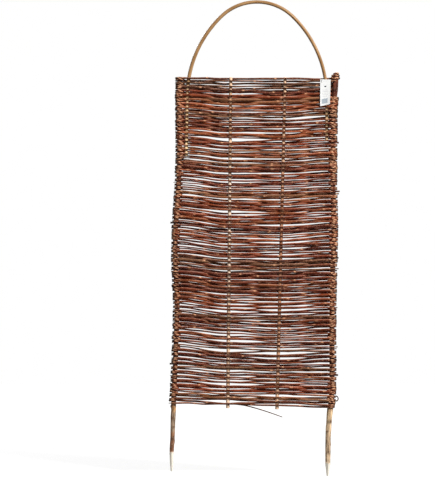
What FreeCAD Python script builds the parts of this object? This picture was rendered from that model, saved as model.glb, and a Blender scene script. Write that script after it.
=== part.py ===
import FreeCAD, Part
import math
import os
import random

from FreeCAD import Vector

# A woven willow hurdle. Sizes are millimetres. X runs along the hurdle, Y from front to back, Z up.

# Clearance of a rod from the pole it bends round, and between two rods that lie on each other.
pole_fit = 0.4
rod_fit = 0.4

# End stakes: round poles, crooked as they grew, pointed with a few axe cuts.
stake_diameter = 19.0
stake_spacing = 577.0
legs_off_centre = -13.5
leg_length = 250.0
left_leg_rise = 17.0
left_point_length = 115.0
right_point_length = 60.0
point_tip_width = 4.0
point_shoulder = 0.3
point_thinning = 1.5
point_cuts = 5
point_turn = 25.0
left_stake_head = 4.0
right_stake_head = 14.0
# Crooks of each stake: height above its lowest rod, and sideways from the axis of its leg.
left_crooks = ((-20.0, 0.0), (85.0, 8.5), (380.0, 19.0), (520.0, 10.5), (640.0, 11.0), (865.0, 27.0))
right_crooks = ((-20.0, 0.0), (80.0, 6.5), (490.0, 11.0), (630.0, 17.5), (860.0, 14.0), (1130.0, 18.0))
# Share of the shorter straight run that a bend takes up.
bend_share = 0.45

# Inner uprights: thinner straight poles that stand in the weave and lean a little.
upright_diameter = 12.0
left_upright_inset = 205.0
left_upright_lean = 11.0
left_upright_stub = 16.0
right_upright_inset = 190.0
right_upright_lean = 30.0
right_upright_stub = 3.0
upright_head = 6.0

# Woven panel: rods laid from the bottom up, each beaten down on the one below.
panel_height = 1205.5
thin_rod_diameter = 5.8
thick_rod_diameter = 8.0
row_gap = 0.98
rows_per_weaver = 3
rod_sides = 6
turn_chords = 3
# Rods climb at the stakes: how much at each end, how soon, and the share lost again at the top.
left_end_lift = 17.0
right_end_lift = 13.0
end_lift_power = 8
end_lift_settle = 0.5
# Unevenness of a weave made by hand.
weave_seed = 7
stake_wander = 0.8
upright_wander = 4.0
short_cut_end = 2.0
long_cut_end = 9.0
# One turn round the right stake is loose.
loose_weaver = 1
loose_turn = 8.0

# Hoop: one rod bent to an arch, its legs pushed down into the weave beside the stakes.
hoop_diameter = 12.0
left_hoop_inset = 28.0
right_hoop_inset = 24.0
left_hoop_depth = 290.0
right_hoop_depth = 230.0
hoop_spring_depth = 61.0
hoop_rise = 351.0

# Loose tip of a rod under the lowest row: held behind the left upright, it sags to a free end.
stray_diameter = 3.8
stray_tuck = 60.0
stray_reach = 20.0
stray_drop = 36.0

# Blank card held to a rod near the top right corner by a bent wire.
tag_width = 39.0
tag_height = 100.0
tag_thickness = 0.6
tag_side_shift = 5.0
tag_top_rise = 3.0
tag_fit = 0.3
staple_wire = 1.0
staple_inset = 6.0
staple_hook = 2.6

# Sizes that follow from the ones above.
stake_radius = stake_diameter / 2
upright_radius = upright_diameter / 2
hoop_radius = hoop_diameter / 2
left_leg_x = legs_off_centre - stake_spacing / 2
right_leg_x = legs_off_centre + stake_spacing / 2
left_foot = left_leg_rise + leg_length
right_foot = leg_length
weave_top = (left_foot + right_foot) / 2 + panel_height
left_top = weave_top + left_end_lift * (1 - end_lift_settle)
right_top = weave_top + right_end_lift * (1 - end_lift_settle)
mean_rod_diameter = (thin_rod_diameter + thick_rod_diameter) / 2
weaver_count = round(panel_height / (rows_per_weaver * (mean_rod_diameter + row_gap)))
row_count = weaver_count * rows_per_weaver
hand = random.Random(weave_seed)
FRONT = -1
BACK = 1
LEFT = -1
RIGHT = 1
# The four uprights that a row passes, from left to right.
LEFT_STAKE, LEFT_UPRIGHT, RIGHT_UPRIGHT, RIGHT_STAKE = range(4)


def stake_axis(leg_x, tip, foot, head, point_length, crooks):
    """Corners of a stake's axis as (height, x), from the top of its point to its head."""
    corners = [(tip + point_length, leg_x)]
    corners += [(foot + height, leg_x + sideways) for height, sideways in crooks]
    corners.append((head, corners[-1][1]))
    return corners


def bend_reach(axis, i):
    """Straight run that the bend at corner i of a stake takes up on each side."""
    return bend_share * min(axis[i][0] - axis[i - 1][0], axis[i + 1][0] - axis[i][0])


def axis_x(axis, z):
    """Place of a pole's axis at height z: straight runs, blended over each bend."""
    slopes = [(b[1] - a[1]) / (b[0] - a[0]) for a, b in zip(axis, axis[1:])]
    x = axis[0][1] + slopes[0] * (z - axis[0][0])
    for i in range(1, len(slopes)):
        reach = bend_reach(axis, i)
        into_bend = min(max(z - axis[i][0] + reach, 0), 2 * reach)
        past_bend = max(z - axis[i][0] - reach, 0)
        x += (slopes[i] - slopes[i - 1]) * (into_bend ** 2 / (4 * reach) + past_bend)
    return x


left_stake_axis = stake_axis(left_leg_x, left_leg_rise, left_foot, left_top + left_stake_head,
                             left_point_length, left_crooks)
right_stake_axis = stake_axis(right_leg_x, 0, right_foot, right_top + right_stake_head,
                              right_point_length, right_crooks)
left_upright_x = left_leg_x + left_upright_inset
left_upright_axis = ((left_foot - left_upright_stub, left_upright_x),
                     (weave_top + upright_head, left_upright_x + left_upright_lean))
right_upright_x = right_leg_x - right_upright_inset
right_upright_axis = ((right_foot - right_upright_stub, right_upright_x),
                      (weave_top + upright_head, right_upright_x + right_upright_lean))

# The hoop is a three-centred arch: vertical legs, two flat sides and a rounder crown.
hoop_spring = weave_top - hoop_spring_depth
left_hoop_x = axis_x(left_stake_axis, weave_top) + left_hoop_inset
right_hoop_x = axis_x(right_stake_axis, weave_top) - right_hoop_inset
hoop_middle = (left_hoop_x + right_hoop_x) / 2
hoop_half_span = (right_hoop_x - left_hoop_x) / 2
hoop_side_radius = hoop_rise * (hoop_half_span + hoop_rise) / (2 * hoop_half_span)
hoop_crown_radius = hoop_half_span ** 2 / hoop_rise


def hoop_x(leg_x, z):
    """Place of a leg of the hoop at height z: it curves inwards above the spring line."""
    above = max(z - hoop_spring, 0)
    lean = hoop_side_radius - math.sqrt(hoop_side_radius ** 2 - above ** 2)
    return leg_x + math.copysign(lean, hoop_middle - leg_x)


def flat_face(corners):
    return Part.Face(Part.makePolygon(corners + corners[:1]))


def flat_sided(rings):
    """Solid with flat faces through rings of corners, closed at the first and the last."""
    faces = [flat_face(rings[0]), flat_face(rings[-1])]
    for lower, upper in zip(rings, rings[1:]):
        for i in range(len(lower)):
            j = (i + 1) % len(lower)
            faces.append(flat_face([lower[i], lower[j], upper[j], upper[i]]))
    shell = Part.makeShell(faces)
    shell.sewShape()
    solid = Part.makeSolid(shell)
    if solid.Volume < 0:
        solid.reverse()
    return solid


def rod(points, diameter, upward=Vector(0, 0, 1)):
    """Rod of one thickness along straight runs: a many-sided bar, mitred at each bend."""
    runs = [(b - a).normalize() for a, b in zip(points, points[1:])]
    across = runs[0].cross(upward).normalize()
    up = across.cross(runs[0])
    ring = []
    for side in range(rod_sides):
        angle = 2 * math.pi * (side + 0.5) / rod_sides
        ring.append(points[0] + (across * math.cos(angle) + up * math.sin(angle)) * (diameter / 2))
    rings = [ring]
    for i, run in enumerate(runs):
        mitre = run
        if i + 1 < len(runs):
            mitre = run + runs[i + 1]
        ring = [p + run * ((points[i + 1] - p).dot(mitre) / run.dot(mitre)) for p in ring]
        rings.append(ring)
    return flat_sided(rings)


def rounded_path(points, reaches):
    """Straight runs joined by tangent arcs, each taking the given reach of both its runs."""
    edges = []
    start = points[0]
    for i, reach in enumerate(reaches, 1):
        arriving = (points[i] - points[i - 1]).normalize()
        leaving = (points[i + 1] - points[i]).normalize()
        inward = (leaving - arriving).normalize()
        bend_start = points[i] - arriving * reach
        bend_middle = points[i] + inward * (reach * math.tan(arriving.getAngle(leaving) / 4))
        bend_end = points[i] + leaving * reach
        edges.append(Part.LineSegment(start, bend_start).toShape())
        edges.append(Part.Arc(bend_start, bend_middle, bend_end).toShape())
        start = bend_end
    edges.append(Part.LineSegment(start, points[-1]).toShape())
    return Part.Wire(edges)


def round_bar(path, start, heading, diameter):
    """Round bar along a smooth path that leaves its start with the given heading."""
    section = Part.Wire(Part.makeCircle(diameter / 2, start, heading))
    return path.makePipeShell([section], True, False)


def make_stake(axis, point_length):
    """Crooked round pole whose lower end is cut to a point by flat axe cuts."""
    corners = [Vector(x, 0, z) for z, x in axis]
    reaches = [bend_reach(axis, i) for i in range(1, len(axis) - 1)]
    pole = round_bar(rounded_path(corners, reaches), corners[0], Vector(0, 0, 1), stake_diameter)
    tip = corners[0] - Vector(0, 0, point_length)
    cuts = []
    for height, apothem in ((0, point_tip_width / 2), (point_length, stake_radius + point_shoulder)):
        reach = apothem / math.cos(math.pi / point_cuts)
        turns = [math.radians(point_turn + 360 * i / point_cuts) for i in range(point_cuts)]
        cuts.append([tip + Vector(reach * math.cos(a), reach * math.sin(a), height) for a in turns])
    blank = Part.makeCone(stake_radius - point_thinning, stake_radius, point_length, tip)
    return pole.fuse(blank.common(flat_sided(cuts)))


def make_upright(axis):
    """Straight leaning pole from its foot to its head."""
    foot, head = [Vector(x, 0, z) for z, x in axis]
    return Part.makeCylinder(upright_radius, (head - foot).Length, foot, head - foot)


def make_hoop():
    """Bent rod: two straight legs, two side arcs and a crown, all tangent."""
    left_foot_end = Vector(left_hoop_x, 0, left_top - left_hoop_depth)
    right_foot_end = Vector(right_hoop_x, 0, right_top - right_hoop_depth)
    left_spring = Vector(left_hoop_x, 0, hoop_spring)
    right_spring = Vector(right_hoop_x, 0, hoop_spring)
    apex = Vector(hoop_middle, 0, hoop_spring + hoop_rise)
    crown_centre = apex - Vector(0, 0, hoop_crown_radius)
    arcs = []
    for spring, inward in ((left_spring, RIGHT), (right_spring, LEFT)):
        side_centre = spring + Vector(inward * hoop_side_radius, 0, 0)
        sweep = math.atan2(crown_centre.z - side_centre.z, inward * (side_centre.x - crown_centre.x))
        arcs.append([side_centre + Vector(-inward * math.cos(a), 0, math.sin(a)) * hoop_side_radius
                     for a in (sweep / 2, sweep)])
    (left_side, left_join), (right_side, right_join) = arcs
    path = Part.Wire([
        Part.LineSegment(left_foot_end, left_spring).toShape(),
        Part.Arc(left_spring, left_side, left_join).toShape(),
        Part.Arc(left_join, apex, right_join).toShape(),
        Part.Arc(right_join, right_side, right_spring).toShape(),
        Part.LineSegment(right_spring, right_foot_end).toShape()])
    return round_bar(path, left_foot_end, Vector(0, 0, 1), hoop_diameter)


def rod_diameter(row):
    return weaver_diameters[row // rows_per_weaver]


def stake_clear(row):
    """Distance of a row's rod from the axis of a stake that it passes."""
    return stake_radius + rod_diameter(row) / 2 + pole_fit


def side(row, upright):
    """Plain weave: a row passes the four uprights in front and behind by turns, and so do the rows."""
    return FRONT if (row + upright) % 2 == 0 else BACK


def rest_step(row, under):
    """Height between the middles of two rods where one rests on the other."""
    return (rod_diameter(row) + rod_diameter(under)) / 2 + rod_fit


def crossing_share(row):
    """Share of the way from a stake to the next upright at which two rows cross."""
    return stake_clear(row) / (stake_clear(row) + upright_radius + rod_diameter(row) / 2 + pole_fit)


def rest_on_row(row, level, below):
    """Heights of a row, raised to clear the row below at the stakes and wherever the two cross."""
    step = rest_step(row, row - 1)
    share = crossing_share(row)
    rise = [z - under for z, under in zip(level, below)]
    for stake, upright in ((LEFT_STAKE, LEFT_UPRIGHT), (RIGHT_STAKE, RIGHT_UPRIGHT)):
        rise[stake] = max(rise[stake], step)
        rise[upright] = max(rise[upright], (step - (1 - share) * rise[stake]) / share)
    rise[RIGHT_UPRIGHT] = max(rise[RIGHT_UPRIGHT], 2 * step - rise[LEFT_UPRIGHT])
    return [under + up for under, up in zip(below, rise)]


def weave_heights():
    """Height of each row at the four uprights: where it should lie, or on the rows below it."""
    span = right_leg_x - left_leg_x
    feet = [left_foot + (right_foot - left_foot) * (x - left_leg_x) / span
            for x in (left_leg_x, left_upright_x, right_upright_x, right_leg_x)]
    lifts = (left_end_lift, 0, 0, right_end_lift)
    wanders = (stake_wander, upright_wander, upright_wander, stake_wander)
    heights = []
    for row in range(row_count):
        share = (row + 0.5) / row_count
        lifted = (1 - (1 - share) ** end_lift_power) * (1 - end_lift_settle * share ** end_lift_power)
        level = [foot + (weave_top - foot) * share + lift * lifted + hand.uniform(-wander, wander)
                 for foot, lift, wander in zip(feet, lifts, wanders)]
        if row > 1:
            step = rest_step(row, row - 2)
            level = [max(z, under + step) for z, under in zip(level, heights[-2])]
        if row > 0:
            level = rest_on_row(row, level, heights[-1])
        heights.append(level)
    return heights


def turn_reach(row):
    """Distance of a turn's corners from the stake's axis, so that its straight runs clear the stake."""
    return stake_clear(row) / math.cos(math.pi / (2 * turn_chords))


def stake_turn(row, end, loose):
    """Points of a turn round an end stake, from one row up to the next on its other side."""
    stake, axis, outward = end
    low = heights[row][stake]
    high = heights[row + 1][stake]
    reach = turn_reach(row)
    points = []
    for i in range(turn_chords + 1):
        angle = math.pi * i / turn_chords
        z = low + (high - low) * i / turn_chords
        points.append(Vector(axis_x(axis, z) + outward * (reach + loose) * math.sin(angle),
                             side(row, stake) * reach * math.cos(angle), z))
    return points


def cut_end(row, end):
    """A row's end: past the stake, and cut off a little way beyond it."""
    stake, axis, outward = end
    z = heights[row][stake]
    held = Vector(axis_x(axis, z), side(row, stake) * stake_clear(row), z)
    beyond = stake_radius + hand.uniform(short_cut_end, long_cut_end)
    return [held, held + Vector(outward * beyond, 0, 0)]


def inner_points(row):
    """Points of a row from left to right where it bends round the uprights and the hoop's legs."""
    clear = rod_diameter(row) / 2 + pole_fit
    z = heights[row]
    left_z = z[LEFT_STAKE] + (z[LEFT_UPRIGHT] - z[LEFT_STAKE]) * left_hoop_inset / left_upright_inset
    right_z = z[RIGHT_STAKE] + (z[RIGHT_UPRIGHT] - z[RIGHT_STAKE]) * right_hoop_inset / right_upright_inset
    points = []
    if left_z > left_top - left_hoop_depth - thick_rod_diameter:
        out = side(row, LEFT_STAKE) * (hoop_radius + clear)
        points.append(Vector(hoop_x(left_hoop_x, left_z), out, left_z))
    for upright, axis in ((LEFT_UPRIGHT, left_upright_axis), (RIGHT_UPRIGHT, right_upright_axis)):
        out = side(row, upright) * (upright_radius + clear)
        points.append(Vector(axis_x(axis, z[upright]), out, z[upright]))
    if right_z > right_top - right_hoop_depth - thick_rod_diameter:
        out = side(row, RIGHT_STAKE) * (hoop_radius + clear)
        points.append(Vector(hoop_x(right_hoop_x, right_z), out, right_z))
    return points


def weaver_points(weaver):
    """Whole path of one rod: its rows run to and fro, turning round the end stakes."""
    first = weaver * rows_per_weaver
    last = first + rows_per_weaver - 1
    start, finish = (LEFT_STAKE, left_stake_axis, LEFT), (RIGHT_STAKE, right_stake_axis, RIGHT)
    if weaver % 2:
        start, finish = finish, start
    points = cut_end(first, start)[::-1]
    for row in range(first, last + 1):
        rightward = finish[0] == RIGHT_STAKE
        passes = inner_points(row)
        points += passes if rightward else passes[::-1]
        if row == last:
            points += cut_end(row, finish)
        else:
            points += stake_turn(row, finish, loose_turn if rightward and weaver == loose_weaver else 0)
        start, finish = finish, start
    return points


def make_stray():
    """Thin loose tip: under the lowest row, behind the left upright, out to a sagging free end."""
    low = heights[0]
    under = (rod_diameter(0) + stray_diameter) / 2 + rod_fit
    back = upright_radius + stray_diameter / 2 + pole_fit
    left_z = low[LEFT_UPRIGHT]
    middle_z = (left_z + low[RIGHT_UPRIGHT]) / 2
    fall = min((low[LEFT_STAKE] - left_z) * stray_tuck / left_upright_inset, 0)
    held = Vector(axis_x(left_upright_axis, left_z), back, left_z - under)
    start = held + Vector(-stray_tuck, 0, fall)
    middle = Vector((left_upright_x + right_upright_x) / 2, back / 2, middle_z - 2 * under)
    tip = Vector(right_upright_x + stray_reach, 0, right_foot - stray_drop)
    return rod([start, held, middle, tip], stray_diameter)


def front_of(points, x):
    """Point of a rod's axis at a place along the hurdle, on the runs between the given points."""
    for a, b in zip(points, points[1:]):
        if a.x <= x <= b.x:
            return a + (b - a) * ((x - a.x) / (b.x - a.x))


def right_end_points(row):
    """A row from the right upright to the right stake, at the widest that a turn makes it."""
    z = heights[row][RIGHT_STAKE]
    out = side(row, RIGHT_STAKE) * turn_reach(row)
    return inner_points(row)[-2:] + [Vector(axis_x(right_stake_axis, z), out, z)]


def make_tag():
    """Blank card that lies on the front rods, and the wire that holds it to one of them."""
    left = right_hoop_x - tag_side_shift - tag_width / 2
    right = left + tag_width
    top = weave_top + tag_top_rise
    rows = [row for row in range(row_count)
            if side(row, RIGHT_STAKE) == FRONT and top - tag_height < heights[row][RIGHT_STAKE] < top]
    fronts = []
    for x in (left, right):
        fronts.append(min(front_of(right_end_points(row), x).y - rod_diameter(row) / 2 for row in rows))
    back_left = Vector(left, fronts[0] - tag_fit, top)
    back_right = Vector(right, fronts[1] - tag_fit, top)
    along = (back_right - back_left).normalize()
    outward = along.cross(Vector(0, 0, 1))
    down = Vector(0, 0, -tag_height)
    card_face = [back_left, back_left + along * tag_width,
                 back_left + along * tag_width + down, back_left + down]
    card = flat_face(card_face).extrude(outward * tag_thickness)

    row = rows[-1]
    held = front_of(right_end_points(row), left + staple_inset)
    wire_reach = rod_diameter(row) / 2 + rod_fit + staple_wire / 2
    on_card = back_left + along * staple_inset
    crown_out = outward * (tag_thickness + tag_fit + staple_wire / 2)
    halves = []
    for up in (1, -1):
        level = Vector(0, 0, held.z + up * wire_reach)
        crown = Vector(on_card.x, on_card.y, 0) + crown_out + level
        behind = Vector(held.x, held.y + wire_reach, 0) + level
        hook = behind + Vector(0, 0, -up * staple_hook)
        halves.append([hook, behind, crown])
        leg = behind - crown
        card = card.cut(Part.makeCylinder(staple_wire / 2 + tag_fit, leg.Length, crown, leg))
    return card, rod(halves[0] + halves[1][::-1], staple_wire, upward=along)


weaver_diameters = [hand.uniform(thin_rod_diameter, thick_rod_diameter) for _ in range(weaver_count)]
heights = weave_heights()
pieces = {
    "left_stake": make_stake(left_stake_axis, left_point_length),
    "right_stake": make_stake(right_stake_axis, right_point_length),
    "inner_upright_left": make_upright(left_upright_axis),
    "inner_upright_right": make_upright(right_upright_axis),
    "hoop": make_hoop(),
    "stray_tip": make_stray(),
}
for weaver in range(weaver_count):
    pieces[f"weaver_{weaver + 1:02d}"] = rod(weaver_points(weaver), weaver_diameters[weaver])
pieces["hang_tag"], pieces["tag_staple"] = make_tag()

os.makedirs("parts", exist_ok=True)
for name, solid in pieces.items():
    solid.exportStep(f"parts/{name}.step")
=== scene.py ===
import math
import random

import bmesh
import bpy
import numpy as np
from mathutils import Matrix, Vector, noise
from mathutils.bvhtree import BVHTree


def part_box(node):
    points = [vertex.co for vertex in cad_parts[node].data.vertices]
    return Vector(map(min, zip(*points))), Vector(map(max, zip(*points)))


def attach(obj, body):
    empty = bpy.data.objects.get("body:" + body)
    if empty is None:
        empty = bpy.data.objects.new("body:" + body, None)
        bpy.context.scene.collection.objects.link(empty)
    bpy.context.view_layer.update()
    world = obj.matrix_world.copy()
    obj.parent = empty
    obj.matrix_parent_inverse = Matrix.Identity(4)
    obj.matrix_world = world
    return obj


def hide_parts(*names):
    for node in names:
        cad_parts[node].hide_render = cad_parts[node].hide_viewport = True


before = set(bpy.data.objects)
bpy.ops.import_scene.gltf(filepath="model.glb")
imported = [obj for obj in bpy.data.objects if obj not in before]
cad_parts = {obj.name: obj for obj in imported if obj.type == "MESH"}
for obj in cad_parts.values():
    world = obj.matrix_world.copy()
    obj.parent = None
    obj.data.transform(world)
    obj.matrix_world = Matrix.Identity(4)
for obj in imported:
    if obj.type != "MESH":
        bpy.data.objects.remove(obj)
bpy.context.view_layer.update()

# End stakes: two round poles with the bark on, crooked as they grew. Each is cut to a point with a few
# strokes of an axe, is driven into the ground, and holds one end of every rod of the weave.


def paint(red, green, blue):
    """Colour as a screen shows it, 0 to 255, in the shader's linear values."""
    linear = [c / 255 / 12.92 if c <= 10 else ((c / 255 + 0.055) / 1.055) ** 2.4 for c in (red, green, blue)]
    return (*linear, 1.0)


def node_tree(name):
    """Faces of a node of the frame, for rays to meet."""
    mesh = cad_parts[name].data
    return BVHTree.FromPolygons([v.co for v in mesh.vertices], [p.vertices for p in mesh.polygons])


def pole_line(name, heights):
    """Middle of an upright pole of the frame at each height."""
    tree = node_tree(name)
    low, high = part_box(name)
    line = []
    for z in heights:
        left = tree.ray_cast(Vector((low.x - 1, 0, z)), Vector((1, 0, 0)))[0]
        right = tree.ray_cast(Vector((high.x + 1, 0, z)), Vector((-1, 0, 0)))[0]
        line.append(((left.x + right.x) / 2, 0, z))
    return np.array(line)


def rings_along(line, radii, turn=0.0):
    """Rings of points square to a line, turned as little as possible from one to the next."""
    run = np.gradient(line, axis=0)
    run /= np.linalg.norm(run, axis=1)[:, None]
    across = np.cross(run[0], (0.0, 0.6, 0.8) if abs(run[0][0]) > 0.7 else (0.0, 1.0, 0.0))
    firsts = []
    for heading in run:
        across = across - heading * np.dot(across, heading)
        across = across / np.linalg.norm(across)
        firsts.append(across)
    firsts = np.array(firsts)
    seconds = np.cross(run, firsts)
    angles = turn + 2 * math.pi * np.arange(radii.shape[1]) / radii.shape[1]
    spokes = (np.cos(angles)[None, :, None] * firsts[:, None, :]
              + np.sin(angles)[None, :, None] * seconds[:, None, :])
    return line[:, None, :] + radii[:, :, None] * spokes


def grown_piece(name, rings, along, bark, scar, finishes):
    """Stick from rings of points that keep their grain, bark colour and scars. Its ends show cut wood."""
    count, sides = rings.shape[:2]
    around = np.arange(sides)
    after = (around + 1) % sides
    start = (np.arange(count - 1) * sides)[:, None]
    skin = np.stack([start + around, start + after, start + sides + after, start + sides + around], axis=-1)
    ends = [list(range(sides))[::-1], list(range((count - 1) * sides, count * sides))]
    mesh = bpy.data.meshes.new(name)
    mesh.from_pydata(rings.reshape(-1, 3).tolist(), [], skin.reshape(-1, 4).tolist() + ends)
    mesh.polygons.foreach_set("use_smooth", [True] * (len(mesh.polygons) - 2) + [False] * 2)
    mesh.polygons.foreach_set("material_index", [0] * (len(mesh.polygons) - 2) + [1] * 2)
    angles = 2 * math.pi * around / sides
    grain = np.empty((count, sides, 3))
    grain[:, :, 0] = np.cos(angles)
    grain[:, :, 1] = np.sin(angles)
    grain[:, :, 2] = np.asarray(along)[:, None]
    colours = np.broadcast_to(bark, (count, sides, 4))
    scars = np.broadcast_to(scar, (count, sides))
    mesh.attributes.new("grain", "FLOAT_VECTOR", "POINT").data.foreach_set("vector", grain.ravel())
    mesh.attributes.new("bark", "FLOAT_COLOR", "POINT").data.foreach_set("color", colours.ravel())
    mesh.attributes.new("scar", "FLOAT", "POINT").data.foreach_set("value", scars.ravel())
    for finish in finishes:
        mesh.materials.append(finish)
    piece = bpy.data.objects.new(name, mesh)
    bpy.context.scene.collection.objects.link(piece)
    return piece


def shader_group(name, inputs, outputs):
    """Empty shader group with its named sockets: the group, what it is given and what it puts out."""
    group = bpy.data.node_groups.new(name, "ShaderNodeTree")
    for socket, value in inputs:
        kind = "NodeSocketFloat" if isinstance(value, float) else "NodeSocketColor"
        group.interface.new_socket(socket, in_out="INPUT", socket_type=kind).default_value = value
    for socket, kind in outputs:
        group.interface.new_socket(socket, in_out="OUTPUT", socket_type=kind)
    return group, group.nodes.new("NodeGroupInput").outputs, group.nodes.new("NodeGroupOutput").inputs


def shader_node(tree, kind, inputs, **settings):
    """New node of a shader. Each input is a value, or the socket of another node that feeds it."""
    node = tree.nodes.new("ShaderNode" + kind)
    for name, value in settings.items():
        setattr(node, name, value)
    for name, value in inputs.items():
        if isinstance(value, bpy.types.NodeSocket):
            tree.links.new(value, node.inputs[name])
        else:
            node.inputs[name].default_value = value
    return node


untinted = (1, 1, 1, 1)


def grown_figure():
    """Streaks, clouds and flecks that run with a stick's grain and tint its bark, and its leaf scars."""
    group, given, made = shader_group(
        "grown_figure",
        (("Light", untinted), ("Dark", (0, 0, 0, 1)), ("Fleck Colour", untinted), ("Scar Colour", untinted),
         ("Streaks", 3.0), ("Flecks", 0.5), ("Scars", 0.0)),
        (("Color", "NodeSocketColor"), ("Roughness", "NodeSocketFloat"), ("Height", "NodeSocketFloat")))
    grain = shader_node(group, "Attribute", {}, attribute_name="grain").outputs["Vector"]
    bark = shader_node(group, "Attribute", {}, attribute_name="bark").outputs["Color"]
    scar = shader_node(group, "Attribute", {}, attribute_name="scar").outputs["Fac"]

    def speckle(stretch, detail):
        place = shader_node(group, "VectorMath", {0: grain, 1: stretch}, operation="MULTIPLY").outputs[0]
        texture = {"Vector": place, "Scale": 1.0, "Detail": detail}
        return shader_node(group, "TexNoise", texture).outputs["Fac"]

    def ranged(value, low, high, least=0.0, most=1.0):
        span = {"Value": value, "From Min": low, "From Max": high, "To Min": least, "To Max": most}
        return shader_node(group, "MapRange", span).outputs[0]

    def added(a, b):
        return shader_node(group, "Math", {0: a, 1: b}, operation="ADD").outputs[0]

    def times(a, b):
        return shader_node(group, "Math", {0: a, 1: b}, operation="MULTIPLY").outputs[0]

    def mixed(factor, a, b, blend="MIX"):
        parts = {"Factor": factor, "A": a, "B": b}
        return shader_node(group, "Mix", parts, data_type="RGBA", blend_type=blend).outputs["Result"]

    width = shader_node(group, "CombineXYZ", {"X": given["Streaks"], "Y": given["Streaks"], "Z": 11})
    streak = speckle(width.outputs[0], 5)
    cloud = speckle((0.8, 0.8, 14), 3)
    fleck = speckle((2.2, 2.2, 130), 1)
    light = mixed(1.0, bark, given["Light"], "MULTIPLY")
    dark = mixed(1.0, bark, given["Dark"], "MULTIPLY")
    figure = mixed(ranged(added(streak, cloud), 0.78, 1.2), dark, light)
    flecks = times(ranged(fleck, 0.6, 0.68), given["Flecks"])
    flecked = mixed(flecks, figure, given["Fleck Colour"])
    scarred = mixed(times(scar, given["Scars"]), flecked, given["Scar Colour"])
    group.links.new(scarred, made["Color"])
    group.links.new(ranged(streak, 0.3, 0.7, 0.28, 0.5), made["Roughness"])
    group.links.new(added(streak, flecks), made["Height"])
    return group


stick_figure = grown_figure()


def finish_with(name, group, values, relief, strength):
    """Material whose colour and bump come from a shader group, with its tree, shader and group node."""
    material = bpy.data.materials.new(name)
    material.use_nodes = True
    tree = material.node_tree
    shader = tree.nodes["Principled BSDF"]
    effect = shader_node(tree, "Group", values, node_tree=group)
    tooth = {"Strength": strength, "Distance": relief, "Height": effect.outputs["Height"]}
    bump = shader_node(tree, "Bump", tooth)
    tree.links.new(effect.outputs["Color"], shader.inputs["Base Color"])
    tree.links.new(bump.outputs["Normal"], shader.inputs["Normal"])
    return material, tree, shader, effect


def stick_finish(name, light, dark, fleck, streaks, flecks, relief, gloss=0.15, scarred=None):
    """Material of a stick: the figure in its tints, and leaf scars of that colour where it has them."""
    values = {"Light": light, "Dark": dark, "Fleck Colour": fleck, "Streaks": streaks, "Flecks": flecks}
    if scarred:
        values.update({"Scar Colour": scarred, "Scars": 1.0})
    material, tree, shader, figure = finish_with(name, stick_figure, values, relief, 0.6)
    shader.inputs["Specular IOR Level"].default_value = gloss
    tree.links.new(figure.outputs["Roughness"], shader.inputs["Roughness"])
    return material


stake_bark = stick_finish("stake_bark", untinted, (0.3, 0.25, 0.21, 1), paint(214, 192, 166), 3.4, 0.3,
                          0.0012, scarred=paint(96, 62, 42))
cut_wood = stick_finish("cut_wood", untinted, (0.97, 0.95, 0.9, 1), paint(232, 214, 186), 6.0, 0.2, 0.0003)
cut_fresh = np.array(paint(243, 236, 222))
woven_bark = paint(112, 62, 42)
stake_sides = 30
stake_radius = 0.0095
point_slice, pole_slice = 0.0025, 0.005
head_slices = (0.0016, 0.0004, 0.0001)
lump_height, furrow_depth = 0.08, 0.05
cut_strokes = 5
cut_turn = math.radians(25)
cut_uneven, cut_lip, cut_hollow, cut_reach = 0.0006, 0.0003, 0.8, 0.3
tip_half = 0.0028
head_bevel = (0.93, 0.86)
newness_fades = 0.006
old_cut_shade = 0.92


def off_bearing(angles, bearing):
    """How far each angle round a stick lies from a bearing, the short way."""
    return (angles - bearing + math.pi) % (2 * math.pi) - math.pi


def bark_noise(angle, z, across, along, shift):
    """Smooth noise on a pole's bark, so many times finer across it and along it."""
    return noise.noise(Vector((across * math.cos(angle), across * math.sin(angle), along * z + shift)))


def bark_at(heights, barks):
    """Bark colour at each height, from the colours given at a few of them."""
    places, colours = zip(*barks)
    return np.stack([np.interp(heights, places, channel) for channel in zip(*colours)], axis=-1)


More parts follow.
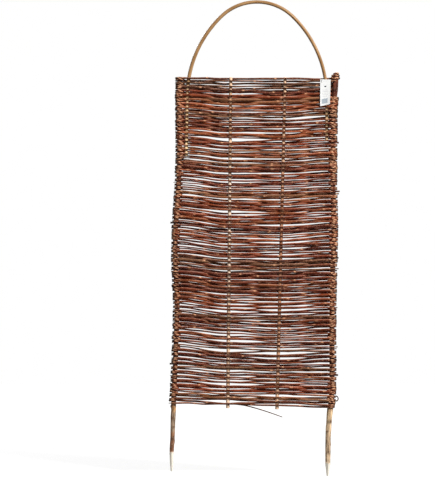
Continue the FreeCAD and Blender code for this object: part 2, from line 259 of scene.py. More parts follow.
def make_stake(name, point_length, lean, girth, barks, patches, fresh, knots, seed):
    """Pole with lumps, furrows and knots, and flat cuts that meet at its tip. Each ring is a level slice.
    Lean, girth and barks go by height, and cuts below the height fresh show new wood."""
    low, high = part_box(name)
    shoulder = low.z + point_length
    slices = np.concatenate([np.arange(low.z + 0.0002, shoulder, point_slice),
                             np.arange(shoulder, high.z - 0.003, pole_slice),
                             [high.z - down for down in head_slices]])
    line = pole_line(name, slices)
    line[slices < shoulder, 0] = pole_line(name, [shoulder + 0.001])[0, 0]
    line[:, 0] += np.interp(slices, *zip(*lean))
    radius = np.interp(slices, *zip(*girth))
    angles = cut_turn + 2 * math.pi * np.arange(stake_sides) / stake_sides
    radii = np.empty((len(slices), stake_sides))
    patch = np.empty_like(radii)
    for i, z in enumerate(slices):
        for j, angle in enumerate(angles):
            lump = bark_noise(angle, z, 1.3, 24, seed)
            furrow = bark_noise(angle, z, 3.4, 30, seed)
            radii[i, j] = radius[i] * (1 + lump_height * lump + furrow_depth * furrow)
            patch[i, j] = bark_noise(angle, z, 1.9, 48, -seed)
    scar = np.zeros_like(radii)
    for height, bearing, rise, spread in knots:
        off = off_bearing(angles, math.radians(bearing)) * stake_radius
        swell = np.exp(-((slices - height) / spread) ** 2)[:, None] * np.exp(-(off / spread) ** 2)[None, :]
        radii += rise * swell
        scar = np.maximum(scar, np.clip(1.6 * swell - 0.4, 0, 1))
    cut = np.zeros(radii.shape, bool)
    pointed = (slices < shoulder)[:, None]
    share = np.clip((slices - low.z) / point_length, 0, 1)
    for stroke in range(cut_strokes):
        facing = np.cos(angles - cut_turn - 2 * math.pi / cut_strokes * (stroke + 0.5))
        lead = cut_uneven * math.sin(3 * stroke + seed)
        flat = tip_half + (radius + cut_lip + lead - tip_half) * share ** cut_hollow
        bitten = facing[None, :] > cut_reach
        reach = np.where(bitten, flat[:, None] / np.maximum(facing, cut_reach)[None, :], 1.0)
        cut |= pointed & (reach < radii)
        radii = np.where(pointed, np.minimum(radii, reach), radii)
    radii[-2] *= head_bevel[0]
    radii[-1] *= head_bevel[1]
    rings = rings_along(line, radii, cut_turn)
    rings[:, :, 2] = slices[:, None]
    bark = bark_at(slices, barks)
    newness = np.clip((fresh - slices) / newness_fades, 0, 1)[:, None]
    bare = cut_fresh * newness + old_cut_shade * bark * (1 - newness)
    weathered = bark[:, None, :] * (1 - patches * np.clip(0.25 + 1.9 * patch, 0, 1))[:, :, None]
    weathered[:, :, 3] = 1
    colour = np.where(cut[:, :, None], bare[:, None, :], weathered)
    stake = grown_piece(name + "_pole", rings, slices, colour, np.where(cut, 0, scar), [stake_bark, cut_wood])
    shown = cut[:-1] & cut[1:]
    shown = shown & np.roll(shown, -1, axis=1) & (slices[:-1] < fresh)[:, None]
    kinds = [int(flag) for flag in shown.ravel()] + [1, 1]
    stake.data.polygons.foreach_set("material_index", kinds)
    stake.data.polygons.foreach_set("use_smooth", [kind == 0 for kind in kinds])
    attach(stake, "root")
    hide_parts(name)


left_lean = [(0.017, -0.003), (0.085, -0.003), (0.135, 0), (0.245, 0.0035), (0.35, 0)]
left_girth = [(0.017, 0.0085), (0.135, 0.0085), (0.25, 0.0095)]
left_barks = [(0.1, paint(176, 124, 92)), (0.158, paint(188, 138, 104)), (0.17, paint(196, 168, 140)),
              (0.23, paint(200, 170, 140)), (0.245, paint(230, 178, 122)), (0.27, paint(150, 96, 62)),
              (0.3, woven_bark)]
left_knots = [(0.258, 350, 0.0036, 0.005), (0.215, 60, 0.0016, 0.006), (0.182, 120, 0.0018, 0.005),
              (0.128, 195, 0.0018, 0.009)]
make_stake("left_stake", 0.115, left_lean, left_girth, left_barks, 0.7, 0.092, left_knots, 2.0)

right_lean = [(0, -0.003), (0.06, -0.002), (0.135, -0.001), (0.2, 0.002), (0.245, 0.005), (0.28, 0.008),
              (0.36, 0.007), (0.6, 0.004), (0.8, 0.004), (1.37, 0.001), (1.425, 0.006), (1.49, 0.009)]
right_girth = [(0, 0.0101), (0.12, 0.0101), (0.2, 0.0106), (0.245, 0.0114), (0.3, 0.0098), (1.38, 0.0098),
               (1.42, 0.0116)]
right_barks = [(0.05, paint(255, 224, 186)), (0.15, paint(252, 218, 178)), (0.235, paint(255, 222, 176)),
               (0.255, paint(150, 96, 62)), (0.28, woven_bark), (1.38, woven_bark),
               (1.41, paint(106, 54, 36))]
right_knots = [(0.202, 128, 0.0024, 0.0055), (0.118, 190, 0.0018, 0.006), (0.165, 60, 0.0014, 0.005),
               (0.09, 100, 0.0012, 0.004)]
make_stake("right_stake", 0.060, right_lean, right_girth, right_barks, 0.55, 0.052, right_knots, 5.0)

# Inner uprights: two straight, thinner sticks that stand only in the weave. Nothing fixes them:
# the rods grip them front and back. Their sawn heads show just above the top row.

upright_bark = stick_finish("upright_bark", untinted, (0.64, 0.56, 0.48, 1), paint(214, 184, 148), 3.5, 0.3,
                            0.0005, scarred=paint(110, 70, 44))
upright_sides = 16
upright_butt = 0.0068
upright_thins = 0.0008
upright_head = 0.005
upright_slice = 0.006
leaf_turn, leaf_stray = 2.4, 0.5
joint_reach, joint_half = 0.02, 0.0055
bud_half, bud_spread = 0.0032, 0.55


def leaf_joints(length, near, far, chance):
    """Places along a stick, and bearings round it, where leaves or side shoots grew."""
    joints = []
    at = chance.uniform(0.3 * near, far)
    bearing = chance.uniform(0, 2 * math.pi)
    while at < length:
        joints.append((at, bearing))
        at += chance.uniform(near, far)
        bearing += leaf_turn + chance.uniform(-leaf_stray, leaf_stray)
    return joints


def jointed(radii, along, joints, swelling, bud):
    """Stick radii with a swelling at each joint and a bud scar on one side of it, and the scars' mask."""
    angles = 2 * math.pi * np.arange(radii.shape[1]) / radii.shape[1]
    scar = np.zeros_like(radii)
    grown = radii.copy()
    for at, bearing in joints:
        past = along - at
        near = np.abs(past) < joint_reach
        off = off_bearing(angles, bearing)
        ring = np.exp(-(past[near] / joint_half) ** 2)[:, None]
        spot = np.exp(-(past[near] / bud_half) ** 2)[:, None] * np.exp(-(off / bud_spread) ** 2)[None, :]
        grown[near] += radii[near] * (swelling * ring + bud * spot)
        scar[near] = np.maximum(scar[near], np.clip(1.3 * spot, 0, 1))
    return grown, scar


def make_upright(name, barks, seed):
    """Straight stick, a little thinner upwards, with side shoots trimmed off at its joints."""
    chance = random.Random(seed)
    low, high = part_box(name)
    top = high.z + upright_head
    slices = np.concatenate([[low.z + 0.0002], np.arange(low.z + 0.003, top - 0.003, upright_slice), [top]])
    line = pole_line(name, np.clip(slices, low.z + 0.004, high.z - 0.004))
    line[:, 2] = slices
    along = slices - low.z
    radii = np.tile(upright_butt - upright_thins * along[:, None] / along[-1], (1, upright_sides))
    radii, scar = jointed(radii, along, leaf_joints(along[-1], 0.05, 0.11, chance), 0.05, 0.16)
    bark = bark_at(slices, barks)[:, None, :]
    rings = rings_along(line, radii)
    stick = grown_piece(name + "_stick", rings, along, bark, scar, [upright_bark, cut_wood])
    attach(stick, "root")
    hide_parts(name)


make_upright("inner_upright_left",
             [(0.5, paint(255, 222, 190)), (0.75, paint(255, 232, 208)), (1.1, paint(255, 232, 208)),
              (1.25, paint(248, 210, 176))], 3)
make_upright("inner_upright_right",
             [(0.3, paint(248, 210, 176)), (0.5, paint(220, 172, 138)), (0.75, paint(188, 134, 102)),
              (1.0, paint(188, 134, 102)), (1.2, paint(232, 190, 156)), (1.4, paint(248, 210, 176))], 4)

# Weavers: long willow rods with the bark on. Each makes three rows, in front of one upright and behind the
# next, and winds two and a half times round an end stake where it turns back. Most of their cut ends are
# wound on too, and the others stand out a little past the stakes.

willow_bark = stick_finish("willow_bark", untinted, (0.3, 0.22, 0.2, 1), paint(206, 156, 124), 2.4, 0.45,
                           0.0004, gloss=0.05, scarred=paint(226, 168, 128))
rod_end = stick_finish("rod_end", (0.6, 0.5, 0.42, 1), (0.24, 0.18, 0.15, 1), paint(120, 88, 62), 6.0, 0.3,
                       0.0003)
rod_barks = [paint(152, 74, 42), paint(134, 60, 38), paint(146, 70, 40), paint(104, 48, 34),
             paint(166, 94, 56), paint(138, 98, 68)]
# Painted highlight: pale glints on the wound strands.
strand_glint = np.array(paint(255, 198, 154))
# Painted highlight: a pale pinkish colour on the rods' upper sides.
rod_highlight = np.array(paint(246, 196, 174))
wound_red = np.array((0.2, -0.12, -0.27, 0))
rod_sides = 12
rod_step = 0.006
stake_clearance = 0.0108
turn_half_turns = 5
turn_steps = 55
tuck_steps = 11
bend_seed = 1
noise.seed_set(bend_seed)


def rod_line(name):
    """Middle line of a rod of the frame, from ring to ring of its corners, and its radius."""
    faces = bmesh.new()
    faces.from_mesh(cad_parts[name].data)
    bmesh.ops.remove_doubles(faces, verts=faces.verts, dist=1e-6)
    bmesh.ops.dissolve_limit(faces, angle_limit=0.002, verts=[], edges=faces.edges)
    faces.verts.index_update()
    ring = set(next(face for face in faces.faces if len(face.verts) == 6
                    and all(len(corner.link_edges) == 3 for corner in face.verts)).verts)
    seen = set(ring)
    line = []
    while ring:
        ordered = sorted(ring, key=lambda corner: corner.index)
        line.append(sum((corner.co for corner in ordered), Vector()) / len(ordered))
        if len(line) == 1:
            radius = (ordered[0].co - line[0]).length
        ring = {edge.other_vert(corner) for corner in ring for edge in corner.link_edges} - seen
        seen |= ring
    faces.free()
    return line, radius


stake_middles = {}
for stake_name in ("left_stake", "right_stake"):
    stake_low, stake_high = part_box(stake_name)
    stake_heights = np.arange(stake_low.z + 0.15, stake_high.z - 0.002, 0.01)
    stake_lean = np.interp(stake_heights, *zip(*right_lean)) if stake_name == "right_stake" else 0
    stake_middles[stake_name] = (stake_heights, pole_line(stake_name, stake_heights)[:, 0] + stake_lean)


def stake_x(x, z):
    """Axis of the end stake on that side of the hurdle at height z."""
    heights, middles = stake_middles["left_stake" if x < 0 else "right_stake"]
    return float(np.interp(z, heights, middles))


def sign(value):
    """1 or -1: which side of the middle a value lies."""
    return math.copysign(1, value)


# Above bare_head the right stake has no windings. There the rods end or turn back behind it.
bare_head = 1.405
bare_head_from = 0.2
back_steps, back_bow = 12, 0.005
end_least, end_most = 0.016, 0.024


def wound(start, climb, turns, tilt, hug, loose, steps, closing=0):
    """Part of a path that winds round a stake by so many half-turns. Its loops lie askew, it climbs between
    its first and last, and closing draws them in. A loose first loop is sprung open."""
    outward, side = sign(start.x), sign(start.y)
    points = []
    for step in range(steps):
        t = step / steps
        turn = turns * math.pi * t
        z = start.z + climb * min(max((turns * t - 0.5) / max(turns - 1, 0.5), 0), 1) + tilt * math.sin(turn)
        near = hug * (1 - closing * t)
        sprung = loose if turn < math.pi else 0
        out = near + sprung
        z += 0.8 * sprung * math.sin(2 * turn)
        points.append((stake_x(start.x, z) + outward * out * math.sin(turn), side * near * math.cos(turn), z))
    return points


def turned_back(start, climb, hug):
    """Part of a path that turns back behind a stake without going round it."""
    bows = [math.pi * (step + 0.5) / back_steps for step in range(back_steps)]
    return [(start.x + back_bow * math.sin(bow), hug, start.z + climb * (1 - math.cos(bow)) / 2)
            for bow in bows]


def stand_out(end, hidden, chance):
    """Cut end of a rod: a little past the others at the edge of the weave, or out of sight behind a stake."""
    reach = 0 if hidden else math.copysign(chance.uniform(end_least, end_most), end.x)
    return (stake_x(end.x, end.z) + reach, end.y, end.z)


open_spots = [(-0.03, 1.44), (-0.03, 1.32), (-0.17, 1.2), (0.21, 1.33), (-0.03, 1.25), (0.24, 1.23),
              (-0.24, 1.09), (-0.24, 1.04), (-0.03, 0.97), (-0.25, 0.92), (-0.24, 0.85), (0.22, 0.96),
              (0.13, 0.88), (0.17, 0.69), (-0.24, 0.62), (-0.03, 0.64), (0.18, 0.63), (-0.02, 0.56),
              (0.14, 0.51), (-0.24, 0.48), (-0.04, 0.5), (0.24, 0.4), (-0.22, 0.39), (-0.05, 0.36)]
open_half_width, open_half_height = 0.06, 0.028
tight_gap, open_gap, chance_gap = 0.0001, 0.0011, 0.0011


def openness(x, z):
    """How near a place of the weave is to one of the spots where light shows through, from 0 to about 1."""
    return sum(np.exp(-((x - spot_x) / open_half_width) ** 2 - ((z - spot_z) / open_half_height) ** 2)
               for spot_x, spot_z in open_spots)


def parting(x, z):
    """How far rods part at an upright: those in front sink by this much, and those behind rise."""
    here = noise.noise(Vector((9 * x, 4, 24 * z)))
    return max(0, tight_gap + open_gap * openness(x, z) + chance_gap * here)


stake_inside, stake_outside = 0.012, 0.004
stake_parting = 0.6
row_stray = 0.002
inner_span = 0.18
top_row = 1.452
top_bow = 0.006
top_bow_from = 1.36
top_bow_over = 0.1


def settled(corners, hug, chance, winding):
    """Draws a rod's corners to the leaning stakes and parts them at the inner uprights.
    Says which are at a stake, and which are behind the right stake's bare head."""
    at_stake = [-stake_inside < sign(p.x) * (p.x - stake_x(p.x, p.z)) < stake_outside for p in corners]
    behind_head = [p.x > bare_head_from and p.z > bare_head for p in corners]
    for i, p in enumerate(corners):
        if at_stake[i]:
            p.z += math.copysign(stake_parting * parting(p.x, p.z), p.y)
            p.y = hug if behind_head[i] and not winding else math.copysign(hug, p.y)
            p.x = stake_x(p.x, p.z)
        elif abs(p.x) < inner_span:
            stray = chance.uniform(-row_stray, row_stray)
            p.z += (math.copysign(parting(p.x, p.z), p.y) + stray) * (p.z < top_row)
            p.z += top_bow * min(max((p.z - top_bow_from) / top_bow_over, 0), 1) ** 2
    return at_stake, behind_head


free_bend, bends_along, short_span = 0.0026, 15, 10


def bent_span(a, b, chance):
    """Part of a path between two uprights: an S, as a stiff stick bends, with small bends of its own."""
    steps = max(2, round((b - a).length / rod_step))
    drift = chance.uniform(0, 90)
    points = []
    for step in range(steps):
        t = step / steps
        s = t * t * (3 - 2 * t)
        free = free_bend * min(1, 4 * t, 4 * (1 - t)) if steps > short_span else 0
        bent = noise.noise_vector(Vector((drift, 0, bends_along * t * (b - a).length)))
        points.append((a.x + (b.x - a.x) * t, a.y + (b.y - a.y) * s + 0.5 * free * bent.y,
                       a.z + (b.z - a.z) * s + free * bent.z))
    return points


tucked_share = 0.78
tuck_least, tuck_most = 2.7, 3.3
askew_least, askew_most = 0.0016, 0.0028
turn_tilt = 0.002
knob_climb, knob_tilt, knob_closing = 0.02, 0.002, 0.35
loose_reach = 0.0155
loose_loop = 0.011


def grown_path(corners, hug, chance, winding):
    """Path of one rod from cut end to cut end, and which of its corners are at a stake. An end is tucked
    round its stake or stands out. The last rod's far end makes a knob of that many half-turns there."""
    drawn_x = [p.x for p in corners]
    at_stake, behind_head = settled(corners, hug, chance, winding)
    tucks = [chance.uniform(tuck_least, tuck_most)
             if chance.random() < tucked_share and not behind_head[end] else 0 for end in (1, -2)]
    askew = [chance.choice((-1, 1)) * chance.uniform(askew_least, askew_most) for end in tucks]
    tucks[1] = winding or tucks[1]
    path = []
    if tucks[0]:
        tuck = wound(corners[1], 2 * askew[0], tucks[0], -askew[0], hug, 0, round(tuck_steps * tucks[0]))
        path += tuck[:0:-1]
    else:
        path.append(stand_out(corners[0], behind_head[1], chance))
    i = 1
    while i < len(corners) - 2:
        a, b = corners[i], corners[i + 1]
        if at_stake[i] and not at_stake[i + 1] and (b.x - stake_x(b.x, b.z)) * b.x > 0:
            climb = corners[i + 3].z - a.z
            if behind_head[i]:
                path += turned_back(a, climb, hug)
            else:
                loose = loose_loop if abs(b.x - drawn_x[i]) > loose_reach else 0
                tilt = chance.uniform(-turn_tilt, turn_tilt)
                path += wound(a, climb, turn_half_turns, tilt, hug, loose, turn_steps)
            i += 3
        else:
            path += bent_span(a, b, chance)
            i += 1
    path.append(tuple(corners[-2]))
    if tucks[1]:
        climb, tilt, closing = 2 * askew[1], -askew[1], 0
        if winding:
            climb, tilt, closing = knob_climb, knob_tilt, knob_closing
        path += wound(corners[-2], climb, tucks[1], tilt, hug, 0, round(tuck_steps * tucks[1]), closing)[1:]
    else:
        path.append(stand_out(corners[-1], behind_head[-2], chance))
    return np.array(path), at_stake


hoop_foot_x, hoop_foot_z, hoop_press = -0.2, 1.25, 2.2
press_half_width, press_half_height = 0.01, 0.006
wound_within, edge_from, sprung_from = 0.013, 0.008, 0.015


def squeezed(path, corners, at_stake, winding):
    """Three masks along a rod: wound tight at a stake, at the outer edge of the windings, and pressed flat
    where it crosses in front of an upright or springs away from the stake. The outer edge and the pressed
    places get painted shade."""
    past = np.array([(x - stake_x(x, z)) * sign(x) for x, _, z in path])
    wrapped = ~((path[:, 0] > bare_head_from) & (path[:, 2] > bare_head)) | bool(winding)
    pressed = np.zeros(len(path))
    for p, held in zip(corners, at_stake):
        if p.y < 0 and not held:
            deep = hoop_press if p.x < hoop_foot_x and p.z < hoop_foot_z else 1
            off_x = (path[:, 0] - p.x) / press_half_width
            off_z = (path[:, 2] - p.z) / press_half_height
            pressed = np.maximum(pressed, deep * np.exp(-off_x ** 2 - off_z ** 2))
    pressed = np.maximum(pressed, np.clip((past - sprung_from) / 0.005, 0, 1))
    tight = wrapped * np.clip((wound_within + past) / 0.004, 0, 1)
    outer = np.clip((past - edge_from) / 0.004, 0, 1)
    return tight, outer, pressed


butt_girth, girth_lost = 1.44, 0.46
wound_thinner, edge_thicker, pressed_thinner, open_thinner = 0.36, 0.16, 0.2, 0.24
stout_from, stout_over, stouter = 1.34, 0.05, 0.1
head_rods_x, head_rods_z, head_rods_thicker = 0.262, 1.37, 0.4
top_edge, knob_thinner = 1.455, 0.3
uneven, uneven_along = 0.14, 14


def rod_thickness(line, along, share, radius, masks, winding, seed):
    """Radius along a rod: it thins to its tip, at the stakes and at open spots, and is stout near the top."""
    tight, outer, pressed = masks
    x, z = line[:, 0], line[:, 2]
    girth = radius * (butt_girth - girth_lost * share)
    thickness = girth * (1 - wound_thinner * tight + edge_thicker * outer) * (1 - pressed_thinner * pressed)
    high_up = np.clip((z - stout_from) / stout_over, 0, 1)
    thickness *= 1 + stouter * high_up - (knob_thinner if winding else 0) * (z > top_edge)
    thickness *= 1 + np.array([uneven * noise.noise(Vector((uneven_along * place, 0, seed)))
                               for place in along])
    thickness *= 1 - open_thinner * np.minimum(openness(x, z), 1)
    beside_head = np.clip((x - head_rods_x) / 0.008, 0, 1) * (z > head_rods_z)
    thickness *= 1 + head_rods_thicker * (1 - tight) * beside_head
    return thickness


# How strongly a rod's bark is darkened as painted shade: in the grooves of its wound strands (whose ridges
# get painted light), under the strands, at the outer edge of the windings and where it is pressed.
strand_shade, under_shade, edge_shade, pressed_shade = 0.5, 0.7, 0.7, 0.5
# Painted highlight on the rods' upper sides: how strong it is at most, and how fast it comes and goes along a
# rod.
highlight_most, highlight_along = 0.75, 16


def rod_bark(bark, masks, strand, upper, along, seed):
    """Bark colour over a rod: redder where wound, with painted shade in the grooves of the wound strands,
    under
    them, at the outer edge and where it is pressed, painted light on the strand ridges, and painted
    highlights:
    glints on the strands and pale streaks here and there on its upper side."""
    tight, outer, pressed = masks
    wound_face = (tight * (1 - outer))[:, None]
    bark = bark * (1 + wound_face * wound_red)
    # Painted shade: darker at the outer edge of the windings and where the rod is pressed, in front of an
    # upright or as it springs away from the stake.
    dim = ((1 - edge_shade * outer) * (1 - pressed_shade * pressed))[:, None]
    # Painted light and shade on the wound strands: ridges lighter, grooves darker, undersides darker still.
    shade = (1 + strand_shade * tight[:, None] * (strand - 0.1)) * dim
    shade *= 1 - under_shade * tight[:, None] * np.clip(-1.3 * upper, 0, 1)
    bark = bark[:, None, :] * shade[:, :, None]
    # Painted highlight: pale glints on the upper front of the wound strands.
    glint = wound_face * np.clip(3.6 * strand - 1.1, 0, 1) * np.clip(2 * upper + 0.9, 0, 1)
    bark = bark * (1 - glint[:, :, None]) + strand_glint * glint[:, :, None]
    # Painted highlight: pale pinkish streaks on the rod's upper side, fading in and out along it.
    highlight_patches = np.array([noise.noise(Vector((highlight_along * place, seed, 0))) for place in along])
    top_highlight = highlight_most * ((1 - tight) * np.clip(0.5 + 1.2 * highlight_patches, 0, 1))[:, None] * np.clip(upper, 0, 1) ** 3
    bark = bark * (1 - top_highlight[:, :, None]) + rod_highlight * top_highlight[:, :, None]
    bark[:, :, 3] = 1
    return bark


head_winding = 5.4
strand_pitch = 0.0055
strand_height = 0.18
wound_flatter = 0.12
rod_joint_near, rod_joint_far = 0.045, 0.1
rod_swell, rod_bud = 0.06, 0.16
# The rods' colour depth varies at random, but the top weaver's is low: painted shade against the strong light
# on the top row.
depth_least, depth_most, top_weaver_shade = 0.62, 1.1, 0.4


def make_weaver(name, seed):
    """Rod that thins from butt to tip, swells at each leaf joint and twists where it winds round a stake."""
    chance = random.Random(seed)
    corners, radius = rod_line(name)
    if corners[0].z > corners[-1].z:
        corners = corners[::-1]
    winding = head_winding if name == weaver_names[-1] else 0
    line, at_stake = grown_path(corners, stake_clearance + radius, chance, winding)
    masks = squeezed(line, corners, at_stake, winding)
    tight = masks[0]
    along = np.concatenate([[0], np.cumsum(np.linalg.norm(np.diff(line, axis=0), axis=1))])
    share = along / along[-1]
    if chance.random() < 0.5:
        share = 1 - share
    thickness = rod_thickness(line, along, share, radius, masks, winding, seed)
    joints = leaf_joints(along[-1], rod_joint_near, rod_joint_far, chance)
    radii, scar = jointed(np.tile(thickness[:, None], (1, rod_sides)), along, joints, rod_swell, rod_bud)
    around = 2 * math.pi * np.arange(rod_sides)[None, :] / rod_sides
    strand = np.cos(2 * (around - along[:, None] / strand_pitch))
    radii *= 1 + strand_height * tight[:, None] * strand
    rings = rings_along(line, radii)
    flat = (1 - wound_flatter * tight)[:, None, None]
    rings[:, :, :2] = line[:, None, :2] + (rings - line[:, None, :])[:, :, :2] * flat
    upper = (rings[:, :, 2] - line[:, None, 2]) / radii
    first, last = rod_barks[chance.randrange(len(rod_barks))], rod_barks[chance.randrange(len(rod_barks))]
    # Painted shade: the top weaver is made much darker to offset the stronger light on the top row.
    depth = top_weaver_shade if winding else chance.uniform(depth_least, depth_most)
    bark = (np.array(first) * (1 - share[:, None]) + np.array(last) * share[:, None]) * depth
    bark = rod_bark(bark, masks, strand, upper, along, seed)
    rod = grown_piece(name + "_rod", rings, along + seed, bark, scar, [willow_bark, rod_end])
    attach(rod, "root")
    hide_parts(name)


weaver_names = sorted(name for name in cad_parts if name.startswith("weaver_"))
for weaver_seed, weaver_name in enumerate(weaver_names):
    make_weaver(weaver_name, weaver_seed)

# Hoop: one thicker rod, peeled and bent to a tall arch while green. Its two legs are pushed down into
# the weave beside the stakes, where the rods grip them.

hoop_wood = stick_finish("hoop_wood", untinted, (0.52, 0.44, 0.35, 1), paint(150, 112, 72), 3.2, 0.35, 0.0003,
                         scarred=paint(140, 100, 62))
hoop_tan = np.array(paint(172, 134, 92))
# The hoop is painted paler where its legs stand in the weave: painted light against the shade the rods cast
# on them.
hoop_leg_lit_tan = np.array(paint(255, 220, 172))
hoop_sides = 20
hoop_butt = 0.0072
hoop_thins = 0.0012
hoop_spring = 1.403
hoop_step = 0.006
weave_top = 1.46
left_leg_lean = 0.005
left_leg_top = 1.44
left_leg_length = 0.28


def hoop_line():
    """Middle line of the frame's hoop: up the left leg, over the arch and down the right leg."""
    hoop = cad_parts["hoop"]
    tree = node_tree("hoop")
    low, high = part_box("hoop")
    middle = (low.x + high.x) / 2
    left_foot, right_foot = (min(v.co.z for v in hoop.data.vertices if outward * (v.co.x - middle) > 0.2)
                             for outward in (-1, 1))
    line = []

    def between(origin, heading):
        inner = tree.ray_cast(origin, heading)[0]
        outer = tree.ray_cast(origin + heading * 2, -heading)[0]
        line.append((inner + outer) / 2)

    for z in np.arange(left_foot + 0.0005, hoop_spring, hoop_step):
        between(Vector((middle, 0, z)), Vector((-1, 0, 0)))
    for turn in np.linspace(math.pi, 0, 150):
        between(Vector((middle, 0, hoop_spring)), Vector((math.cos(turn), 0, math.sin(turn))))
    for z in np.arange(hoop_spring - hoop_step, right_foot, -hoop_step):
        between(Vector((middle, 0, z)), Vector((1, 0, 0)))
    return np.array(line)


def make_hoop():
    """Bent rod, thicker at its butt in the left leg than at its tip in the right, and painted paler in the
    weave:
    painted light against the shade of the rods over its legs.
    """
    chance = random.Random(8)
    line = hoop_line()
    sunk = np.clip((left_leg_top - line[:, 2]) / left_leg_length, 0, 1)
    line[:, 0] -= left_leg_lean * sunk * (line[:, 0] < 0)
    along = np.concatenate([[0], np.cumsum(np.linalg.norm(np.diff(line, axis=0), axis=1))])
    radii = np.tile(hoop_butt - hoop_thins * along[:, None] / along[-1], (1, hoop_sides))
    radii, scar = jointed(radii, along, leaf_joints(along[-1], 0.07, 0.16, chance), 0.03, 0.07)
    # Painted light: paler below the top of the weave, where the rods shade the legs.
    deep = np.clip((weave_top - line[:, 2]) / 0.03, 0, 1)[:, None, None]
    tan = hoop_tan * (1 - deep) + hoop_leg_lit_tan * deep
    hoop = grown_piece("hoop_rod", rings_along(line, radii), along, tan, 0.7 * scar, [hoop_wood, cut_wood])
    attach(hoop, "root")
    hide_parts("hoop")


make_hoop()

# Stray tip: the thin end of a rod that has sprung out under the lowest row. It is held behind the left
# upright and hangs free at its other end.

stray_sides = 10
stray_held_rise, stray_free_rise = 0.012, 0.004


def smooth_line(corners):
    """Points of a smooth curve drawn by its corners, and how far along it each lies."""
    curve = bpy.data.curves.new("drawn_line", "CURVE")
    curve.dimensions = "3D"
    spline = curve.splines.new("NURBS")
    spline.points.add(len(corners) - 1)
    for point, corner in zip(spline.points, corners):
        point.co = (*corner, 1)
    spline.order_u = 3
    spline.use_endpoint_u = True
    spline.resolution_u = 12
    holder = bpy.data.objects.new("drawn_line", curve)
    line = np.array([v.co for v in bpy.data.meshes.new_from_object(holder).vertices])
    bpy.data.objects.remove(holder)
    return line, np.concatenate([[0], np.cumsum(np.linalg.norm(np.diff(line, axis=0), axis=1))])


def make_stray():
    """Thin rod that bends under its own weight and thins to its free end."""
    corners, radius = rod_line("stray_tip")
    if corners[0].x > corners[-1].x:
        corners = corners[::-1]
    for corner, rise in zip(corners, np.linspace(stray_held_rise, stray_free_rise, len(corners))):
        corner.z += rise
    line, along = smooth_line(corners)
    radii = np.tile(radius * (1.2 - 0.4 * (along / along[-1])[:, None] ** 3), (1, stray_sides))
    radii, scar = jointed(radii, along, leaf_joints(along[-1], 0.02, 0.04, random.Random(21)), 0.08, 0.2)
    rings = rings_along(line, radii)
    tip = grown_piece("stray_tip_rod", rings, along, paint(92, 66, 54), scar, [willow_bark, rod_end])
    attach(tip, "root")
    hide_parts("stray_tip")


make_stray()

# Hang tag: a white card that lies on the front of the top rows at the right, a little curled. It is blank but
# for plain grey fields, and a bent wire holds it to a rod.


def faint_clouds():
    """Faint clouds between two tints of one colour, which also give a made thing's surface its fine tooth."""
    group, given, made = shader_group(
        "faint_clouds",
        (("Light", (1, 1, 1, 1)), ("Dark", (0, 0, 0, 1)), ("Scale", 60.0)),
        (("Color", "NodeSocketColor"), ("Height", "NodeSocketFloat")))
    place = shader_node(group, "TexCoord", {}).outputs["Object"]
    texture = {"Vector": place, "Scale": given["Scale"], "Detail": 6}
    cloud = shader_node(group, "TexNoise", texture).outputs["Fac"]
    tints = {"Factor": cloud, "A": given["Dark"], "B": given["Light"]}
    group.links.new(shader_node(group, "Mix", tints, data_type="RGBA").outputs["Result"], made["Color"])
    group.links.new(cloud, made["Height"])
    return group


made_clouds = faint_clouds()


def made_finish(name, light, dark, scale, roughness, relief, metal=0.0):
    """Material of a made thing: one colour, faintly clouded."""
    values = {"Light": light, "Dark": dark, "Scale": scale}
    material, _, shader, _ = finish_with(name, made_clouds, values, relief, 0.4)
    shader.inputs["Roughness"].default_value = roughness
    shader.inputs["Metallic"].default_value = metal
    return material


tag_finishes = [made_finish("tag_card", paint(238, 238, 236), paint(224, 224, 222), 60, 0.6, 0.0001),
                made_finish("tag_lines", paint(206, 208, 210), paint(186, 188, 192), 400, 0.6, 0.0001),
                made_finish("tag_mark", paint(70, 72, 76), paint(48, 50, 54), 400, 0.6, 0.0001),
                made_finish("tag_block", paint(176, 184, 190), paint(146, 156, 164), 500, 0.6, 0.0001)]
tag_fields = [(0.4, 0.6, 0.25, 0.295, 2), (0.16, 0.7, 0.4, 0.412, 1), (0.16, 0.78, 0.46, 0.472, 1),
              (0.16, 0.62, 0.52, 0.532, 1), (0.16, 0.74, 0.58, 0.592, 1), (0.16, 0.66, 0.64, 0.652, 1),
              (0.14, 0.74, 0.74, 0.925, 3)]
tag_stands_off = 0.002
tag_cup, tag_lift, tag_narrows = 0.0022, 0.003, 0.003
tag_top_slope, tag_foot_slope = 0.0015, 0.0075
tag_paper = 0.0005
tag_ink = 0.0002
tag_across, tag_down = 14, 30
field_steps = 8


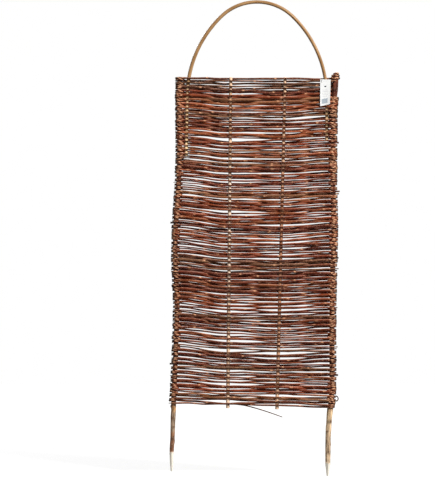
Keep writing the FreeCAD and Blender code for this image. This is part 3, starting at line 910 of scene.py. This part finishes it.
def make_tag():
    """Curled card of paper thickness, and its fields a hair in front of it."""
    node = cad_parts["hang_tag"]
    low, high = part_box("hang_tag")
    left = min(v.co.y for v in node.data.vertices if v.co.x < low.x + 0.004) - tag_stands_off
    right = min(v.co.y for v in node.data.vertices if v.co.x > high.x - 0.004) - tag_stands_off
    width, height = high.x - low.x, high.z - low.z

    def at(u, v, behind):
        curl = tag_cup * (2 * u - 1) ** 2 * v + tag_lift * v * v
        return (low.x + width * u - tag_narrows * u * v, left + (right - left) * u - curl + behind,
                high.z - tag_top_slope * u * (1 - v) - (height - tag_foot_slope * u) * v)

    points, faces = [], []
    row = tag_across + 1
    for behind in (0, tag_paper):
        for j in range(tag_down + 1):
            points += [at(i / tag_across, j / tag_down, behind) for i in range(row)]
    side = row * (tag_down + 1)
    for j in range(tag_down):
        for i in range(tag_across):
            a = j * row + i
            faces.append((a, a + row, a + row + 1, a + 1))
            faces.append((side + a, side + a + 1, side + a + row + 1, side + a + row))
    rim = [i for i in range(tag_across)] + [j * row + tag_across for j in range(tag_down)]
    rim += [tag_down * row + i for i in range(tag_across, 0, -1)] + [j * row for j in range(tag_down, 0, -1)]
    faces += [(a, b, b + side, a + side) for a, b in zip(rim, rim[1:] + rim[:1])]
    kinds = [0] * len(faces)
    for u0, u1, v0, v1, kind in tag_fields:
        for step in range(field_steps):
            a, b = (u0 + (u1 - u0) * (step + k) / field_steps for k in (0, 1))
            faces.append(tuple(range(len(points), len(points) + 4)))
            points += [at(u, v, -tag_ink) for u, v in ((a, v0), (a, v1), (b, v1), (b, v0))]
            kinds.append(kind)
    mesh = bpy.data.meshes.new("hang_tag_card")
    mesh.from_pydata(points, [], faces)
    for finish in tag_finishes:
        mesh.materials.append(finish)
    mesh.polygons.foreach_set("material_index", kinds)
    tag = bpy.data.objects.new("hang_tag_card", mesh)
    bpy.context.scene.collection.objects.link(tag)
    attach(tag, "root")
    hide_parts("hang_tag")


make_tag()

# Staple: a short piece of steel wire that holds the card. It is pushed through the card, bent round
# a rod of the top rows and closed behind it.

staple_steel = made_finish("staple_steel", paint(120, 116, 112), paint(70, 66, 64), 900, 0.38, 0.00005,
                           metal=1.0)
staple_sides = 10


def make_staple():
    """Round wire through the frame's corners, bent with a small radius at each."""
    corners, radius = rod_line("tag_staple")
    corners = [corner - Vector((0, tag_stands_off, 0)) for corner in corners]
    close = []
    for a, b in zip(corners, corners[1:]):
        close += [a, a.lerp(b, 0.3), a.lerp(b, 0.7)]
    line, along = smooth_line(close + [corners[-1]])
    rings = rings_along(line, np.full((len(line), staple_sides), radius))
    wire = grown_piece("tag_staple_wire", rings, along, untinted, 0, [staple_steel, staple_steel])
    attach(wire, "root")
    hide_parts("tag_staple")


make_staple()

# Studio: a pale floor, a white surround, one broad lamp high in front at the right and a weaker one behind at
# the left, and a camera far off at mid height, square to the hurdle.

floor_half, floor_level = 6, -0.001
floor_grey = (0.25, 0.25, 0.25, 1)
floor_light = 0.85
surround_light = 0.11
picture_width, picture_height = 435, 495
pixel = 0.0037
middle_column, ground_row = 254, 476
camera_distance = 9.0


def seen_ray(tree):
    """1 for rays that show a surface: from the camera, off a gloss or through glass. 0 for other rays."""
    ray = shader_node(tree, "LightPath", {}).outputs
    shown = ray["Is Camera Ray"]
    for kind in ("Is Glossy Ray", "Is Transmission Ray"):
        shown = shader_node(tree, "Math", {0: shown, 1: ray[kind]}, operation="MAXIMUM").outputs[0]
    return shown


floor_mesh = bpy.data.meshes.new("floor")
floor_corners = [(floor_half * x, floor_half * y, floor_level)
                 for x, y in ((-1, -1), (1, -1), (1, 1), (-1, 1))]
floor_mesh.from_pydata(floor_corners, [], [(0, 1, 2, 3)])
floor = bpy.data.objects.new("floor", floor_mesh)
bpy.context.scene.collection.objects.link(floor)
floor_white = bpy.data.materials.new("floor_white")
floor_white.use_nodes = True
floor_tree = floor_white.node_tree
floor_shader = floor_tree.nodes["Principled BSDF"]
floor_shader.inputs["Base Color"].default_value = floor_grey
floor_shader.inputs["Roughness"].default_value = 0.9
floor_shader.inputs["Specular IOR Level"].default_value = 0.0
floor_shader.inputs["Emission Color"].default_value = (1, 1, 1, 1)
floor_glow = shader_node(floor_tree, "Math", {0: seen_ray(floor_tree), 1: floor_light}, operation="MULTIPLY")
floor_tree.links.new(floor_glow.outputs[0], floor_shader.inputs["Emission Strength"])
floor_mesh.materials.append(floor_white)

world = bpy.data.worlds.new("white_surround")
bpy.context.scene.world = world
world.use_nodes = True
surround = world.node_tree.nodes["Background"]
surround.inputs["Color"].default_value = (1, 1, 1, 1)
strength = shader_node(world.node_tree, "MapRange",
                       {"Value": seen_ray(world.node_tree), "To Min": surround_light, "To Max": 1.0})
world.node_tree.links.new(strength.outputs[0], surround.inputs["Strength"])

lamp_aim = Vector((0, 0, 0.9))


def hang_lamp(name, place, width, height, watts):
    """Broad soft lamp that points at the middle of the hurdle."""
    lamp = bpy.data.lights.new(name, "AREA")
    lamp.shape = "RECTANGLE"
    lamp.size = width
    lamp.size_y = height
    lamp.energy = watts
    holder = bpy.data.objects.new(name, lamp)
    holder.location = place
    holder.rotation_euler = (lamp_aim - holder.location).to_track_quat("-Z", "Y").to_euler()
    bpy.context.scene.collection.objects.link(holder)


hang_lamp("high_lamp", (4.3, -4.8, 6.0), 2.2, 1.6, 1085)
hang_lamp("back_lamp", (-3.4, 5.6, 3.6), 2.4, 1.8, 300)

camera_data = bpy.data.cameras.new("camera")
camera_data.lens = camera_data.sensor_width * camera_distance / (picture_height * pixel)
camera = bpy.data.objects.new("camera", camera_data)
camera.location = ((picture_width / 2 - middle_column) * pixel, -camera_distance,
                   (ground_row - picture_height / 2) * pixel)
camera.rotation_euler = (math.pi / 2, 0, 0)
bpy.context.scene.collection.objects.link(camera)
bpy.context.scene.camera = camera
bpy.context.scene.view_settings.view_transform = "Standard"
